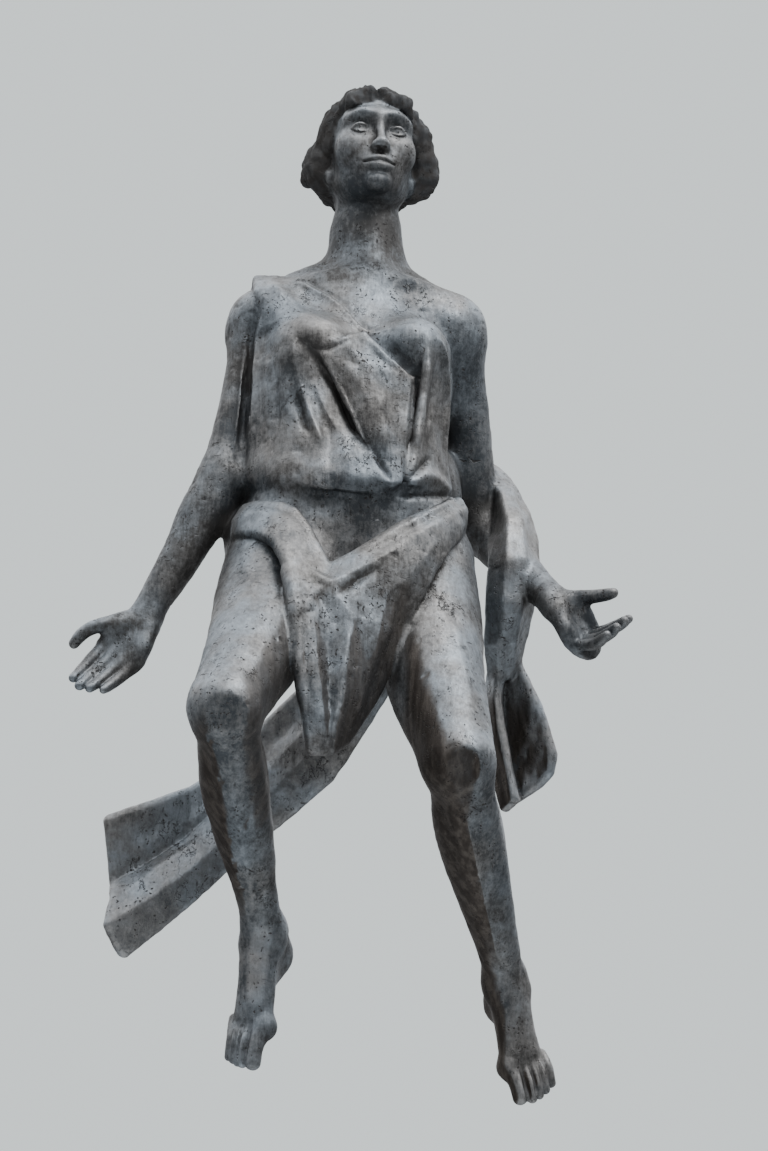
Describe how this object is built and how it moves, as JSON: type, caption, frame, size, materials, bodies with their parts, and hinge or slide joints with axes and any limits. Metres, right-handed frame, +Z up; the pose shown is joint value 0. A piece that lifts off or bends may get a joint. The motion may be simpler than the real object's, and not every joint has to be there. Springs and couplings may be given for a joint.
{
  "type": "wall sculpture",
  "caption": "Life-size cast metal figure of a draped woman floating with open arms, made to hang on a wall or a building corner by a flat pad on its back.",
  "frame": {"origin": "middle of the flat pad on the figure's back, on the pad's outer face", "axes": "+Z up along the standing height, +Y out of the back pad towards the wall, -Y the figure's front, +X the figure's left"},
  "size_m": [0.9019, 0.5061, 1.7592],
  "materials": {
    "cast_metal": "hollow cast bronze with a worn dark grey patina, tool marks, pits and fine cracks, silvery where it faces the sky and brown-black below"
  },
  "bodies": {
    "root": {"figure": "cast_metal"}
  },
  "joints": []
}
